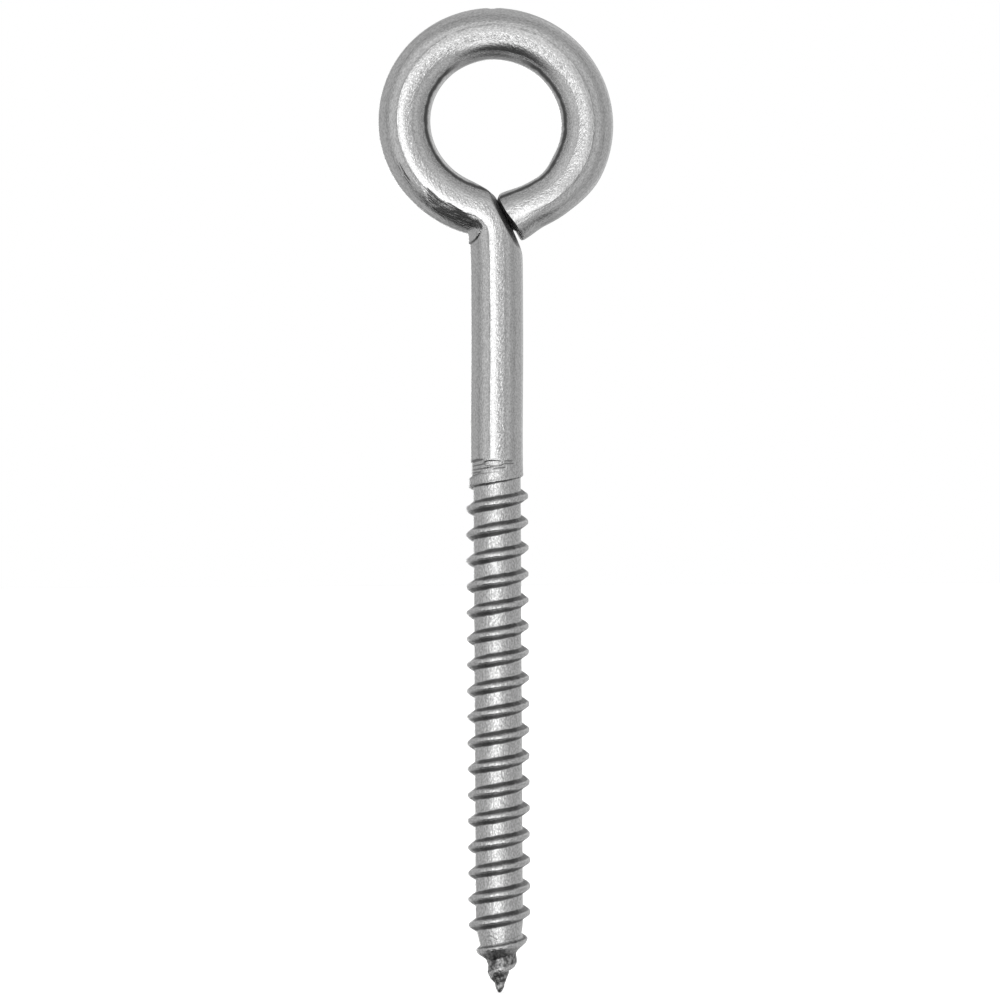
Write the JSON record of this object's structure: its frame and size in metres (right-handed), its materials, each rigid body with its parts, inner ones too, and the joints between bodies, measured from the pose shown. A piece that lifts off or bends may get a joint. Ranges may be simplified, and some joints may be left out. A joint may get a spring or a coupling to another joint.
{
  "type": "wood-screw eye bolt",
  "caption": "Eye bolt bent from one round steel bar: an open bent eye on a long plain shank with a coarse wood-screw thread and a gimlet point.",
  "frame": {"origin": "on the shank's axis where the plain shank ends and the thread begins, at the level of the timber's face when the whole thread is driven in", "axes": "+Z along the shank's axis, from the screw point towards the eye; the eye lies in the XZ plane, +Y is square to it, and the eye's cut end is on the +X side of the neck"},
  "size_m": [0.0452, 0.0118, 0.1893],
  "materials": {
    "plated_bar": "bright zinc-plated drawn steel bar, glossy, with fine drawing lines and forming scuffs",
    "rolled_thread": "zinc-plated rolled steel thread, slightly speckled, duller towards the point"
  },
  "bodies": {
    "root": {"eye_ring": "plated_bar", "neck_bend": "plated_bar", "plain_shank": "plated_bar", "screw_thread": "rolled_thread", "gimlet_point": "rolled_thread"}
  },
  "joints": []
}
